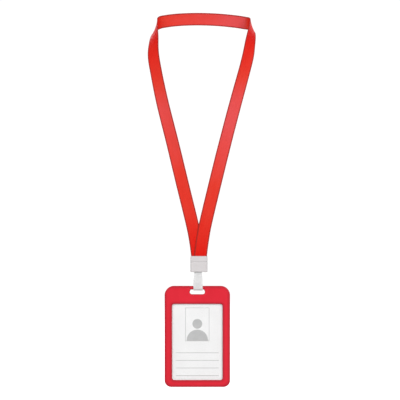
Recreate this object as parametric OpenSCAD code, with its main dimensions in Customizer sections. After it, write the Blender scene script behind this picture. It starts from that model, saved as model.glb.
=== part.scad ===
// Lanyard badge holder. A ribbon neck loop ends in a two-half moulded clamp, a snap strap hangs
// from the clamp's pin, and a rigid card holder hangs from the strap by the bar over its slot.
// +Z is up as worn, +X is to the right and -Y faces the viewer. The origin is the neck rest, the
// middle of the inner face of the band at the top of the loop. Sizes are in millimetres.

/* [Card] */
// Width of the insert card
card_w = 54; // [44:0.5:66]
// Height of the insert card
card_h = 85.6; // [70:0.1:104]
// Thickness of the insert card
card_t = 0.76; // [0.5:0.02:1]
// Corner radius of the insert card
card_r = 3.2; // [1:0.1:5]

/* [Holder] */
// Width of frame beside the card pocket
side_wall = 4.45; // [3.6:0.05:8]
// Height of frame under the card pocket
foot_wall = 2.5; // [2.2:0.1:8]
// Height of header from the top edge down to the card pocket
header_h = 9.3; // [9.1:0.1:20]
// Thickness of the front skin round the window
skin_t = 1.2; // [0.9:0.1:2.4]
// Thickness of the back cover
cover_t = 1.5; // [1.2:0.1:3]
// How far the back cover laps past the pocket on each side
cover_lap = 2; // [1:0.1:2.4]
// Radius of the upper corners
upper_r = 9; // [4:0.5:12]
// Radius of the lower corners
lower_r = 6.5; // [4:0.5:10]
// How far the window's frame covers the card at each side
side_lap = 2.5; // [1:0.1:6]
// How far the window's frame covers the card at its top edge
top_lap = 7.9; // [2:0.1:14]
// How far the window's frame covers the card at its bottom edge
foot_lap = 3.95; // [1:0.05:8]
// Corner radius of the window
window_r = 2.3; // [0.5:0.1:5]
// Thickness of the clear window pane
pane_t = 0.5; // [0.3:0.05:0.8]

/* [Slot and bar] */
// Width of the strap slot
slot_w = 14.6; // [13:0.1:20]
// Height of the strap slot
slot_h = 4.5; // [4:0.1:4.8]
// Diameter of the round bar over the slot
bar_d = 3.6; // [3:0.1:3.9]

/* [Thumb slot] */
// Width of the thumb slot in the back cover
thumb_w = 24; // [16:0.5:34]
// Height of the thumb slot in the back cover
thumb_h = 14; // [10:0.5:20]

/* [Strap] */
// Thickness of the strap
strap_t = 0.8; // [0.5:0.05:1]
// Width of the strap where it leaves the clamp
strap_w_top = 7.4; // [6:0.1:8.8]
// Width of the strap at the holder's bar
strap_w_bar = 9; // [7:0.1:10.8]
// Clear length of strap between the clamp and the holder
strap_drop = 13.5; // [12.8:0.1:30]
// How far the strap hangs to the right of the holder's centre line
strap_x = 0.7; // [0:0.1:0.8]

/* [Snap] */
// Diameter of the snap's outer cap
snap_cap_d = 8; // [7.6:0.1:8.6]
// Diameter of the snap's socket
snap_socket_d = 7.2; // [6:0.1:7.5]
// Diameter of the stud's flange
snap_stud_d = 6.4; // [5:0.1:7]
// Diameter of the stud's nub
snap_nub_d = 3; // [2.4:0.1:3.6]

/* [Clamp] */
// Width of the clamp
clamp_w = 16.5; // [13.7:0.1:20]
// Height of the clamp
clamp_h = 15.5; // [14.5:0.1:24]
// Thickness of each clamp half
clamp_half_t = 3.5; // [3.4:0.1:5]
// Diameter of the strap pin
pin_d = 2; // [1.6:0.1:2.4]
// Height of the strap pin's axis above the clamp's lower edge
pin_drop = 2.2; // [2:0.1:2.6]
// How far the clamp hangs to the right of the holder's centre line
clamp_x = 1.6; // [1:0.1:2]

/* [Ribbon] */
// Width of the ribbon
ribbon_w = 12.5; // [10:0.5:15]
// Thickness of the ribbon
ribbon_t = 0.5; // [0.3:0.05:0.5]

/* [Fits] */
// Gap round the card in its pocket
card_clear = 0.3; // [0.1:0.05:0.5]
// Gap in front of the card and behind it
card_play = 0.12; // [0.05:0.01:0.2]
// Gap round the window pane and round the back cover
seat_clear = 0.1; // [0.05:0.01:0.2]
// Radial gap between the strap and the clamp pin
pin_clear = 0.05; // [0.02:0.01:0.1]
// Radial gap between the strap and the holder's bar
bar_clear = 0.1; // [0.05:0.01:0.2]
// Radial gap between the snap's nub and its socket
nub_clear = 0.35; // [0.3:0.01:0.5]
// Radial gap round a fixed post, peg or pin in its own hole
post_clear = 0.02; // [0.01:0.01:0.05]

/* [Hidden] */
$fn = 64;
eps = 0.01;

// Where the badge hangs: this far in front of the neck rest, and the clamp's top edge this far
// below it. The ribbon's route ends there, so these two go with its points.
badge_y = -55;
clamp_top = -234.5;

// The ribbon's route from its right-hand end, up, round the neck and down to its left-hand end.
// Each entry is a point of the centre line, then the direction across the ribbon from its
// inner or upper edge to its outer or lower edge.
ribbon_route = [
    [  2.1, -55.3, -242.5,  0.99,  0.00, -0.11],
    [  3.1, -55.3, -234.0,  0.99,  0.00, -0.12],
    [  5.2, -55.3, -218.0,  0.98,  0.00, -0.18],
    [  8.4, -55.2, -201.0,  0.98,  0.05, -0.20],
    [ 17.5, -53.0, -163.0,  0.97,  0.05, -0.24],
    [ 27.2, -49.5, -124.0,  0.96,  0.15, -0.25],
    [ 37.4, -45.0,  -85.0,  0.94,  0.25, -0.26],
    [ 48.2, -40.0,  -45.0,  0.90,  0.35, -0.28],
    [ 51.6, -35.5,  -27.0,  0.80,  0.50, -0.40],
    [ 54.0, -25.0,  -12.0,  0.46,  0.38, -0.80],
    [ 52.8, -15.0,   -6.4,  0.20,  0.15, -0.97],
    [ 47.5,  -7.5,   -4.5,  0.06,  0.03, -1.00],
    [ 36.0,  -3.0,   -2.4,  0.03,  0.00, -1.00],
    [ 18.5,  -0.5,   -0.6,  0.02,  0.00, -1.00],
    [  0.0,   0.0,    0.0,  0.00,  0.00, -1.00],
    [-17.3,  -0.5,   -0.6, -0.02,  0.00, -1.00],
    [-31.0,  -3.0,   -2.3, -0.03,  0.00, -1.00],
    [-38.5,  -8.0,   -4.8, -0.12,  0.05, -0.99],
    [-42.0, -17.0,  -12.0, -0.45,  0.30, -0.84],
    [-43.0, -26.0,  -23.0, -0.76,  0.48, -0.46],
    [-43.2, -33.5,  -37.0, -0.87,  0.42, -0.25],
    [-40.7, -38.5,  -53.0, -0.90,  0.35, -0.20],
    [-34.0, -45.0,  -85.0, -0.94,  0.25, -0.22],
    [-24.2, -49.5, -124.0, -0.96,  0.15, -0.22],
    [-14.8, -53.0, -163.0, -0.97,  0.05, -0.22],
    [ -5.5, -54.6, -201.0, -0.98,  0.00, -0.20],
    [ -2.0, -54.7, -218.0, -0.98,  0.00, -0.17],
    [  0.2, -54.7, -234.0, -0.99,  0.00, -0.12],
    [  1.2, -54.7, -242.5, -0.99,  0.00, -0.11],
];
route_steps = 3;

// Levels of the holder, from its top edge down, with its middle plane at y = 0.
clamp_foot = clamp_top - clamp_h;
holder_top = clamp_foot - strap_drop;
holder_w = card_w + 2 * (card_clear + side_wall);
holder_h = header_h + card_h + 2 * card_clear + foot_wall;
holder_foot = holder_top - holder_h;
pocket_top = holder_top - header_h;
card_top = pocket_top - card_clear;
card_foot = card_top - card_h;
window_top = card_top - top_lap;
window_w = card_w - 2 * side_lap;
window_h = card_h - top_lap - foot_lap;

// Depths through the holder, from its front face at -holder_t / 2 to its back face.
pocket_d = pane_t + card_t + 2 * card_play;
holder_t = skin_t + pocket_d + cover_t;
front_y = -holder_t / 2;
pane_y = front_y + skin_t;
card_y = pane_y + pane_t + card_play;
cover_y = pane_y + pocket_d;
edge_cut = 0.6;

// The strap turns on the clamp's pin at its top and round the holder's bar at its foot.
bar_r = bar_d / 2;
bar_z = holder_top - bar_r;
bar_len = slot_w - 1.2;
slot_z = holder_top - bar_d - slot_h / 2;
pin_r = pin_d / 2;
pin_z = clamp_foot + pin_drop;
pin_wrap = pin_r + pin_clear;
bar_wrap = bar_r + bar_clear;
strap_cavity_w = strap_w_top + 2.6;
strap_cavity_r = pin_wrap + strap_t + 0.85;

// The snap's axis is square to the strap's two back legs. The inner leg carries the stud and the
// tab carries the socket. These are the inner faces of the legs where the snap is fixed.
snap_z = bar_z + 7.4;
snap_reach = 4.5;
inner_leg_y = 0.2;
leg_lap = 0.1;
stud_flange_t = 0.5;
nub_l = 0.7;
socket_t = 1;
socket_web = 0.3;
cap_t = 0.9;
post_r = 0.8;
tab_y = inner_leg_y + strap_t + stud_flange_t + 0.1 + socket_t;

// The living hinge of the tab, at the end of the strap's bend round the bar.
hinge_y = bar_wrap + strap_t / 2;
hinge_r = strap_t / 2;
hinge_gap = 0.15;

// The ribbon lies in the clamp between the halves, and three ribs on each half bite it.
ribbon_seat_h = 8.3;
ribbon_layer = 0.05 + ribbon_t;
rib_h = 0.4;
rib_bite = 0.1;

// ---------- shared shapes ----------

// Extrudes an outline drawn in X and Z from y0 back to y1.
module along_y(y0, y1) {
    translate([0, y1, 0]) rotate([90, 0, 0]) linear_extrude(y1 - y0) children();
}

// Extrudes a profile drawn in Y and Z from x0 to x1.
module along_x(x0, x1) {
    translate([x0, 0, 0]) rotate([90, 0, 90]) linear_extrude(x1 - x0) children();
}

// A rod along Y from y0 to y1 on the axis x, z.
module rod_y(r, x, z, y0, y1) {
    translate([x, y0, z]) rotate([-90, 0, 0]) cylinder(r = r, h = y1 - y0);
}

// A rod along X from x0 to x1 on the axis y, z.
module rod_x(r, y, z, x0, x1) {
    translate([x0, y, z]) rotate([0, 90, 0]) cylinder(r = r, h = x1 - x0);
}

// An upright rectangle hung from its top edge, with its own radii at the top and the foot.
module hung_outline(w, top, h, r_top, r_foot) {
    difference() {
        translate([-w / 2, top - h]) square([w, h]);
        for (side = [-1, 1]) {
            translate([side * w / 2, top]) corner_waste(r_top, -side, -1);
            translate([side * w / 2, top - h]) corner_waste(r_foot, -side, 1);
        }
    }
}

// What a corner of radius r loses, with the corner at the origin and the body towards sx, sz.
module corner_waste(r, sx, sz) {
    difference() {
        translate([sx > 0 ? -1 : -r, sz > 0 ? -1 : -r]) square(r + 1);
        translate([sx * r, sz * r]) circle(r);
    }
}

// A slot with full round ends, centred on x, z.
module slot_outline(w, h, x, z) {
    translate([x - w / 2 + h / 2, z - h / 2]) square([w - h, h]);
    for (side = [-1, 1]) translate([x + side * (w - h) / 2, z]) circle(h / 2);
}

// A rectangle of half sizes a and b whose corners are cut off by c.
module cut_corner_rect(a, b, c) {
    polygon([[-a + c, -b], [a - c, -b], [a, -b + c], [a, b - c],
             [a - c, b], [-a + c, b], [-a, b - c], [-a, -b + c]]);
}

// Moves a piece of the badge to where the badge hangs.
module hung() {
    translate([0, badge_y, 0]) children();
}

// ---------- ribbon ----------

function spline(a, b, c, d, t) =
    0.5 * (2 * b + (c - a) * t + (2 * a - 5 * b + 4 * c - d) * t * t
           + (3 * b - a - 3 * c + d) * t * t * t);
function route_entry(i) =
    let (last = len(ribbon_route) - 1)
    i < 0 ? 2 * ribbon_route[0] - ribbon_route[1] :
    i > last ? 2 * ribbon_route[last] - ribbon_route[last - 1] : ribbon_route[i];
function route_at(i, t) =
    spline(route_entry(i - 1), route_entry(i), route_entry(i + 1), route_entry(i + 2), t);
function place(e) = [e[0], e[1], e[2]];
function across(e) = [e[3], e[4], e[5]];
function unit(v) = v / norm(v);

route = [
    for (i = [0 : len(ribbon_route) - 2], k = [0 : route_steps - 1]) route_at(i, k / route_steps),
    ribbon_route[len(ribbon_route) - 1]
];
function heading(i) =
    unit(place(route[min(i + 1, len(route) - 1)]) - place(route[max(i - 1, 0)]));
// The four corners of the ribbon's section at ring i.
function ring(i) =
    let (p = place(route[i]),
         t = heading(i),
         a = across(route[i]),
         w = unit(a - (a * t) * t) * ribbon_w / 2,
         n = cross(t, unit(w)) * ribbon_t / 2)
    [p - w - n, p + w - n, p + w + n, p - w + n];

module neck_ribbon() {
    rings = len(route);
    corners = [for (i = [0 : rings - 1]) each ring(i)];
    sides = [
        for (i = [0 : rings - 2], k = [0 : 3])
        let (a = 4 * i + k, b = 4 * i + (k + 1) % 4)
        each [[a, b, b + 4], [a, b + 4, a + 4]]
    ];
    last = 4 * (rings - 1);
    ends = [[0, 2, 1], [0, 3, 2], [last, last + 1, last + 2], [last, last + 2, last + 3]];
    color([0.88, 0.16, 0.17]) polyhedron(corners, concat(sides, ends));
}

// ---------- clamp ----------

// One half of the clamp as a plain block from the middle plane out to side * clamp_half_t,
// with its outer edges cut off.
module clamp_block(side) {
    intersection() {
        along_x(clamp_x - clamp_w / 2, clamp_x + clamp_w / 2)
            translate([0, clamp_top - clamp_h / 2])
                cut_corner_rect(clamp_half_t, clamp_h / 2, edge_cut);
        translate([clamp_x, 0, clamp_foot]) linear_extrude(clamp_h)
            cut_corner_rect(clamp_w / 2, clamp_half_t, edge_cut);
        translate([clamp_x - clamp_w, side > 0 ? 0 : -clamp_half_t, clamp_foot])
            cube([2 * clamp_w, clamp_half_t, clamp_h]);
    }
}

// The space in one half for the ribbon's ends, open at the top and at both sides, with three
// ribs left standing across it.
module ribbon_seat(side) {
    depth = ribbon_layer + rib_h - rib_bite;
    lo = clamp_top - ribbon_seat_h;
    difference() {
        translate([clamp_x - clamp_w / 2 - 1, side > 0 ? 0 : -depth, lo])
            cube([clamp_w + 2, depth, ribbon_seat_h + 1]);
        for (k = [1 : 3])
            along_x(clamp_x - clamp_w / 2 - 2, clamp_x + clamp_w / 2 + 2)
                polygon([[side * (depth + eps), lo + 2 * k - 0.5],
                         [side * (depth - rib_h), lo + 2 * k],
                         [side * (depth + eps), lo + 2 * k + 0.5]]);
    }
}

// The space in one half for the strap's turn round the pin, open and flared at the foot.
module strap_cavity(side) {
    r = strap_cavity_r;
    x0 = clamp_x - strap_cavity_w / 2;
    x1 = clamp_x + strap_cavity_w / 2;
    flare = clamp_half_t - r;
    intersection() {
        union() {
            rod_x(r, 0, pin_z, x0, x1);
            along_x(x0, x1)
                polygon([[-r, pin_z], [-r, clamp_foot + flare], [-r - flare - 1, clamp_foot - 1],
                         [r + flare + 1, clamp_foot - 1], [r, clamp_foot + flare], [r, pin_z]]);
        }
        translate([x0 - 1, side > 0 ? 0 : -2 * clamp_half_t, clamp_foot - 2])
            cube([strap_cavity_w + 2, 2 * clamp_half_t, clamp_h]);
    }
}

pin_len = clamp_w - 2;
peg_r = 0.8;
peg_l = 1.6;
peg_x = clamp_w / 2 - 1.8;
peg_z = clamp_foot + pin_drop + 3.6;

module clamp_half(side) {
    difference() {
        clamp_block(side);
        ribbon_seat(side);
        strap_cavity(side);
        rod_x(pin_r + post_clear, 0, pin_z, clamp_x - pin_len / 2 - post_clear,
              clamp_x + pin_len / 2 + post_clear);
    }
}

module clamp_front() {
    groove_z = clamp_top - 5.8;
    color([0.84, 0.83, 0.83]) hung() {
        difference() {
            clamp_half(-1);
            along_x(clamp_x - clamp_w, clamp_x + clamp_w)
                polygon([[-clamp_half_t - 1, groove_z + 0.8], [-clamp_half_t + 0.4, groove_z],
                         [-clamp_half_t - 1, groove_z - 0.8]]);
        }
        for (side = [-1, 1]) rod_y(peg_r, clamp_x + side * peg_x, peg_z, -0.5, peg_l);
    }
}

module clamp_back() {
    color([0.84, 0.83, 0.83]) hung() difference() {
        clamp_half(1);
        for (side = [-1, 1])
            rod_y(peg_r + post_clear, clamp_x + side * peg_x, peg_z, -1, peg_l + 0.1);
    }
}

module clamp_pin() {
    color([0.7, 0.7, 0.72]) hung()
        rod_x(pin_r, 0, pin_z, clamp_x - pin_len / 2, clamp_x + pin_len / 2);
}

// ---------- strap ----------

// The strap's width at each height, as an outline in X and Z: narrow in the clamp and wide
// round the bar.
module strap_outline() {
    translate([strap_x, 0])
        polygon([[-strap_w_top / 2, clamp_top], [-strap_w_top / 2, clamp_foot],
                 [-strap_w_bar / 2, holder_top + 2], [-strap_w_bar / 2, holder_top - 12],
                 [strap_w_bar / 2, holder_top - 12], [strap_w_bar / 2, holder_top + 2],
                 [strap_w_top / 2, clamp_foot], [strap_w_top / 2, clamp_top]]);
}

// Cuts what runs along X down to the strap's outline.
module strap_strip() {
    intersection() {
        union() children();
        along_y(-10, 10) strap_outline();
    }
}

// A length of strap along X whose section in Y and Z is the outline drawn for it.
module strap_run() {
    along_x(strap_x - strap_w_bar, strap_x + strap_w_bar) children();
}

// A bend of the strap about y = 0 at height z, on the upper or the lower side.
module strap_bend(r, z, upper) {
    strap_run() intersection() {
        translate([0, z]) difference() {
            circle(r + strap_t);
            circle(r);
        }
        translate([-r - 2, upper ? z - leg_lap : z - r - 2]) square([2 * r + 4, r + 2 + leg_lap]);
    }
}

module strap() {
    color([0.9, 0.9, 0.9]) hung() difference() {
        strap_strip() {
            strap_bend(pin_wrap, pin_z, true);
            strap_bend(bar_wrap, bar_z, false);
            // front leg
            strap_run() polygon([[-pin_wrap - strap_t, pin_z], [-pin_wrap, pin_z],
                                 [-bar_wrap, bar_z], [-bar_wrap - strap_t, bar_z]]);
            // inner back leg, which carries the stud
            strap_run() polygon([[pin_wrap, pin_z], [inner_leg_y, snap_z + snap_reach],
                                 [inner_leg_y, snap_z - snap_reach],
                                 [inner_leg_y + strap_t, snap_z - snap_reach],
                                 [inner_leg_y + strap_t, snap_z + snap_reach],
                                 [pin_wrap + strap_t, pin_z]]);
        }
        // room for the tab's rounded hinge end
        rod_x(hinge_r + hinge_gap, hinge_y, bar_z, strap_x - strap_w_bar, strap_x + strap_w_bar);
        rod_y(post_r + post_clear, strap_x, snap_z, inner_leg_y - 1, inner_leg_y + strap_t + 1);
    }
}

module strap_tab() {
    flared_z = bar_z + 3.5;
    color([0.9, 0.9, 0.9]) hung() difference() {
        union() {
            strap_strip() strap_run()
                polygon([[hinge_y - hinge_r, bar_z], [hinge_y + hinge_r, bar_z],
                         [tab_y + strap_t, flared_z], [tab_y + strap_t, snap_z + snap_reach],
                         [tab_y, snap_z + snap_reach], [tab_y, flared_z]]);
            rod_x(hinge_r, hinge_y, bar_z, strap_x - strap_w_bar / 2, strap_x + strap_w_bar / 2);
        }
        rod_y(post_r + post_clear, strap_x, snap_z, tab_y - 1, tab_y + strap_t + 1);
    }
}

// ---------- snap ----------

stud_y = inner_leg_y + strap_t;

module snap_stud() {
    color([0.86, 0.86, 0.86]) hung() difference() {
        union() {
            rod_y(snap_stud_d / 2, strap_x, snap_z, stud_y, stud_y + stud_flange_t);
            rod_y(snap_nub_d / 2, strap_x, snap_z, stud_y, stud_y + stud_flange_t + nub_l);
        }
        rod_y(post_r + post_clear, strap_x, snap_z, stud_y - 1, stud_y + stud_flange_t + 0.4);
    }
}

module snap_stud_post() {
    color([0.86, 0.86, 0.86]) hung() {
        rod_y(snap_stud_d / 2, strap_x, snap_z, inner_leg_y - 0.7, inner_leg_y);
        rod_y(post_r, strap_x, snap_z, inner_leg_y - 0.5, stud_y + stud_flange_t + 0.3);
    }
}

module snap_socket() {
    color([0.86, 0.86, 0.86]) hung() difference() {
        rod_y(snap_socket_d / 2, strap_x, snap_z, tab_y - socket_t, tab_y);
        rod_y(snap_nub_d / 2 + nub_clear, strap_x, snap_z, tab_y - socket_t - 1,
              tab_y - socket_web);
        rod_y(post_r + post_clear, strap_x, snap_z, tab_y - socket_t, tab_y + 1);
    }
}

module snap_cap() {
    face = tab_y + strap_t;
    color([0.86, 0.86, 0.86]) hung() {
        rod_y(snap_cap_d / 2, strap_x, snap_z, face, face + cap_t - 0.3);
        translate([strap_x, face + cap_t - 0.3, snap_z]) rotate([-90, 0, 0])
            cylinder(r1 = snap_cap_d / 2, r2 = snap_cap_d / 2 - 0.8, h = 0.3);
        rod_y(post_r, strap_x, snap_z, tab_y - socket_web + 0.05, face + 0.3);
    }
}

// ---------- holder ----------

// The whole holder's envelope: its outline with the front and back edges cut off.
module holder_block() {
    intersection() {
        along_y(front_y, -front_y) hung_outline(holder_w, holder_top, holder_h, upper_r, lower_r);
        along_x(-holder_w / 2, holder_w / 2)
            translate([0, holder_top - holder_h / 2])
                cut_corner_rect(holder_t / 2, holder_h / 2, edge_cut);
        translate([0, 0, holder_foot]) linear_extrude(holder_h)
            cut_corner_rect(holder_w / 2, holder_t / 2, edge_cut);
    }
}

module front_frame() {
    color([0.86, 0.17, 0.24]) hung() {
        difference() {
            holder_block();
            // window
            along_y(front_y - 1, pane_y + 1)
                hung_outline(window_w, window_top, window_h, window_r, window_r);
            // pocket for the pane and the card, and the rebate that the back cover sits in
            along_y(pane_y, cover_y + 1)
                hung_outline(card_w + 2 * card_clear, pocket_top, card_h + 2 * card_clear, 1, 1);
            along_y(cover_y, -front_y + 1)
                hung_outline(card_w + 2 * (card_clear + cover_lap), pocket_top + 0.6,
                             card_h + 2 * card_clear + 0.6 + cover_lap / 2, 1, 1);
            // slit that the card slides out of, through the right-hand side
            translate([0, pane_y + pane_t, card_foot - card_clear])
                cube([holder_w, card_t + 2 * card_play, card_h + 2 * card_clear]);
            // strap slot, and the opening over it that leaves only the bar
            along_y(front_y - 1, -front_y + 1) slot_outline(slot_w, slot_h, 0, slot_z);
            translate([-bar_len / 2, front_y - 1, slot_z])
                cube([bar_len, holder_t + 2, holder_top - slot_z + 1]);
        }
        rod_x(bar_r, 0, bar_z, -bar_len / 2 - 1, bar_len / 2 + 1);
    }
}

module back_cover() {
    color([0.84, 0.16, 0.23]) hung() difference() {
        along_y(cover_y, -front_y)
            hung_outline(card_w + 2 * (card_clear + cover_lap - seat_clear),
                         pocket_top + 0.6 - seat_clear,
                         card_h + 2 * card_clear + 0.6 + cover_lap / 2 - 2 * seat_clear, 1, 1);
        along_y(cover_y - 1, -front_y + 1)
            slot_outline(thumb_w, thumb_h, 0, (card_top + card_foot) / 2);
    }
}

module window_pane() {
    color([0.9, 0.95, 1, 0.35]) hung() along_y(pane_y, pane_y + pane_t)
        hung_outline(card_w + 2 * (card_clear - seat_clear), pocket_top - seat_clear,
                     card_h + 2 * (card_clear - seat_clear), 1, 1);
}

// ---------- card ----------

module insert_card() {
    color([0.95, 0.95, 0.95]) hung() along_y(card_y, card_y + card_t)
        hung_outline(card_w, card_top, card_h, card_r, card_r);
}

// The printed layer: a framed portrait placeholder, which takes the height that the four ruled
// lines leave it in the window. The portrait is drawn in hundredths of its frame's height.
print_t = 0.05;
print_margin = 3.6;
rule_count = 4;
rule_pitch = 7.38;
rule_w = card_w - 2 * side_lap - 7.4;
rule_h = 0.5;
rule_foot = window_top - window_h + 4;
photo_top = window_top - print_margin;
photo_gap = 11;
photo_h = photo_top - photo_gap - rule_foot - (rule_count - 1) * rule_pitch - rule_h;
photo_w = 0.715 * photo_h;
photo_line = 0.4;
portrait = photo_h / 100;
head_r = 14.5 * portrait;
head_z = photo_top - 48.3 * portrait;
bust_r = 31.8 * portrait;
bust_top = photo_top - 65.8 * portrait;
bust_foot = photo_top - photo_h;

module card_print() {
    color([0.75, 0.75, 0.75]) hung() along_y(card_y - print_t, card_y) {
        difference() {
            translate([-photo_w / 2, photo_top - photo_h]) square([photo_w, photo_h]);
            translate([-photo_w / 2 + photo_line, photo_top - photo_h + photo_line])
                square([photo_w - 2 * photo_line, photo_h - 2 * photo_line]);
        }
        translate([0, head_z]) circle(head_r);
        intersection() {
            translate([0, bust_top - bust_r]) circle(bust_r);
            translate([-bust_r, bust_foot]) square([2 * bust_r, bust_top - bust_foot]);
        }
        for (k = [0 : rule_count - 1])
            translate([-rule_w / 2, rule_foot + k * rule_pitch]) square([rule_w, rule_h]);
    }
}

neck_ribbon();
clamp_front();
clamp_back();
clamp_pin();
strap();
strap_tab();
snap_stud();
snap_stud_post();
snap_socket();
snap_cap();
front_frame();
back_cover();
window_pane();
insert_card();
card_print();
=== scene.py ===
"""A lanyard badge holder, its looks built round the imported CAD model.

Shapes are worked out in millimetres and stored in metres.
"""

import math

import bmesh
import bpy
import numpy as np
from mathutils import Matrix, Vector
from mathutils.geometry import tessellate_polygon


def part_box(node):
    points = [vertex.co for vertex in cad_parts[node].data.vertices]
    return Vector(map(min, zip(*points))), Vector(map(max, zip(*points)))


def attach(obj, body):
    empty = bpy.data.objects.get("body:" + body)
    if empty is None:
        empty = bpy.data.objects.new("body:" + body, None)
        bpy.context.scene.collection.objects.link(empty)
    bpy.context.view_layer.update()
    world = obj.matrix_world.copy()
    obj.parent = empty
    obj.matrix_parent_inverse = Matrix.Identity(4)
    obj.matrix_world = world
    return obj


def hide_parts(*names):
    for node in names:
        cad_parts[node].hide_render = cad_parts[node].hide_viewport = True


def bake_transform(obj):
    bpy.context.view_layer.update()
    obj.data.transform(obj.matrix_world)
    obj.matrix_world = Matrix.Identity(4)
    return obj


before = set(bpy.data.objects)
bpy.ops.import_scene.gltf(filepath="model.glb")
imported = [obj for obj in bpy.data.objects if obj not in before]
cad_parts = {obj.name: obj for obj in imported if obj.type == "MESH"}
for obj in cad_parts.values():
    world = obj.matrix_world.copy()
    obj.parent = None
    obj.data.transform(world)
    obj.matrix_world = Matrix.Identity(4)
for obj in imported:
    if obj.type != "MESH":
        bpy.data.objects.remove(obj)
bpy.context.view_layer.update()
scene = bpy.context.scene
MM = 0.001


def box_mm(node):
    """Lowest and highest corner of a CAD node, in millimetres."""
    lo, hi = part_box(node)
    return Vector(lo) / MM, Vector(hi) / MM


# ---------------------------------------------------------------- camera

BADGE_LO, BADGE_HI = box_mm("front_frame")
BADGE_Y = (BADGE_LO.y + BADGE_HI.y) / 2
CAMERA_DISTANCE = 2000.0
FRAME_WIDTH = 388.0
AIM_X, AIM_Z = 2.6, -180.2

camera_data = bpy.data.cameras.new("camera")
camera_data.sensor_width = 36
camera_data.lens = 36 * CAMERA_DISTANCE / FRAME_WIDTH
camera_data.clip_start = 0.01
camera = bpy.data.objects.new("camera", camera_data)
camera.location = Vector((AIM_X, BADGE_Y - CAMERA_DISTANCE, AIM_Z)) * MM
camera.rotation_euler = (math.radians(90), 0, 0)
scene.collection.objects.link(camera)
scene.camera = camera

# ---------------------------------------------------------------- mesh helpers

SHARP_ANGLE = 32
FLAT_MARGIN = 0.06


def lerp(a, b, t):
    return a + (b - a) * t


def smoothstep(t):
    t = min(1.0, max(0.0, t))
    return t * t * (3 - 2 * t)


def finish_mesh(name, verts, faces, material, sharp=SHARP_ANGLE):
    """A smooth-shaded object from vertices in millimetres, its edges sharp past an angle."""
    mesh = bpy.data.meshes.new(name)
    mesh.from_pydata([tuple(c * MM for c in v) for v in verts], [], faces)
    bm = bmesh.new()
    bm.from_mesh(mesh)
    bmesh.ops.recalc_face_normals(bm, faces=bm.faces)
    bm.to_mesh(mesh)
    bm.free()
    mesh.shade_smooth()
    mesh.set_sharp_from_angle(angle=math.radians(sharp))
    mesh.materials.append(material)
    obj = bpy.data.objects.new(name, mesh)
    scene.collection.objects.link(obj)
    return obj


def cut(obj, tool, operation="DIFFERENCE"):
    """Cuts tool out of obj, or joins it on, and keeps the result as obj's mesh."""
    modifier = obj.modifiers.new("cut", "BOOLEAN")
    modifier.operation = operation
    modifier.solver = "EXACT"
    modifier.object = tool
    evaluated = obj.evaluated_get(bpy.context.evaluated_depsgraph_get())
    made = bpy.data.meshes.new_from_object(evaluated)
    obj.modifiers.remove(modifier)
    old, obj.data = obj.data, made
    made.name = old.name
    bpy.data.meshes.remove(old)
    bpy.data.objects.remove(tool)
    obj.data.shade_smooth()
    obj.data.set_sharp_from_angle(angle=math.radians(SHARP_ANGLE))
    return obj


def chains_mesh(chains):
    """Vertices and faces of one closed solid. Each chain is a list of rings of points, the first
    chain the outside and the others holes through it. The first rings of all the chains are
    filled as one face, and so are the last."""
    verts, faces, first, last = [], [], [], []
    for rings in chains:
        count = len(rings[0])
        base = len(verts)
        for ring in rings:
            verts.extend(ring)
        for r in range(len(rings) - 1):
            for k in range(count):
                a, b = base + r * count + k, base + r * count + (k + 1) % count
                faces.append((a, b, b + count, a + count))
        first.append(range(base, base + count))
        last.append(range(base + (len(rings) - 1) * count, base + len(rings) * count))
    for group in (first, last):
        index = [i for loop in group for i in loop]
        loops = [[Vector(verts[i]) for i in loop] for loop in group]
        for tri in tessellate_polygon(loops):
            faces.append(tuple(index[i] for i in tri))
    return verts, faces


def arc(cx, cz, r, start, end, count):
    """Points on an arc, with its angles in degrees."""
    return [(cx + r * math.cos(math.radians(lerp(start, end, k / count))),
             cz + r * math.sin(math.radians(lerp(start, end, k / count))))
            for k in range(count + 1)]


def round_rect(x0, z0, x1, z1, r_top, r_foot, count=10):
    """A rectangle with round corners, anticlockwise from its lower left corner."""
    return (arc(x0 + r_foot, z0 + r_foot, r_foot, 180, 270, count)
            + arc(x1 - r_foot, z0 + r_foot, r_foot, 270, 360, count)
            + arc(x1 - r_top, z1 - r_top, r_top, 0, 90, count)
            + arc(x0 + r_top, z1 - r_top, r_top, 90, 180, count))


def shrink(outline, d):
    """An anticlockwise outline moved inwards by d, or outwards where d is negative."""
    pts = np.array(outline, float)
    before, after = pts - np.roll(pts, 1, 0), np.roll(pts, -1, 0) - pts
    n0 = np.stack([-before[:, 1], before[:, 0]], 1)
    n1 = np.stack([-after[:, 1], after[:, 0]], 1)
    n0 /= np.linalg.norm(n0, axis=1)[:, None]
    n1 /= np.linalg.norm(n1, axis=1)[:, None]
    mitre = (n0 + n1) / (1 + (n0 * n1).sum(1))[:, None]
    return [tuple(p) for p in pts + d * mitre]


def rounding(r, y_face, inwards, count=5):
    """(inset, y) pairs from a flat face at y_face over a rounded edge of radius r to the wall.
    inwards is the sign that goes from the face into the piece."""
    pairs = [(r + FLAT_MARGIN, y_face)]
    for k in range(count + 1):
        a = math.radians(90 * k / count)
        pairs.append((r * (1 - math.sin(a)), y_face + inwards * r * (1 - math.cos(a))))
    return pairs


def walls(outline, pairs, sign=1):
    """Rings of an outline in X and Z, one at each (inset, y) pair. sign is -1 for a hole."""
    return [[(x, y, z) for x, z in shrink(outline, sign * inset)] for inset, y in pairs]


def plate(outline, y0, y1, r0, r1, holes=()):
    """Chains of a plate from y0 back to y1 with edges rounded by r0 in front and r1 behind.
    Each hole is (outline, r0, r1)."""
    chains = [walls(outline, rounding(r0, y0, 1) + rounding(r1, y1, -1)[::-1])]
    for hole, h0, h1 in holes:
        chains.append(walls(hole, rounding(h0, y0, 1) + rounding(h1, y1, -1)[::-1], -1))
    return chains


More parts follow.
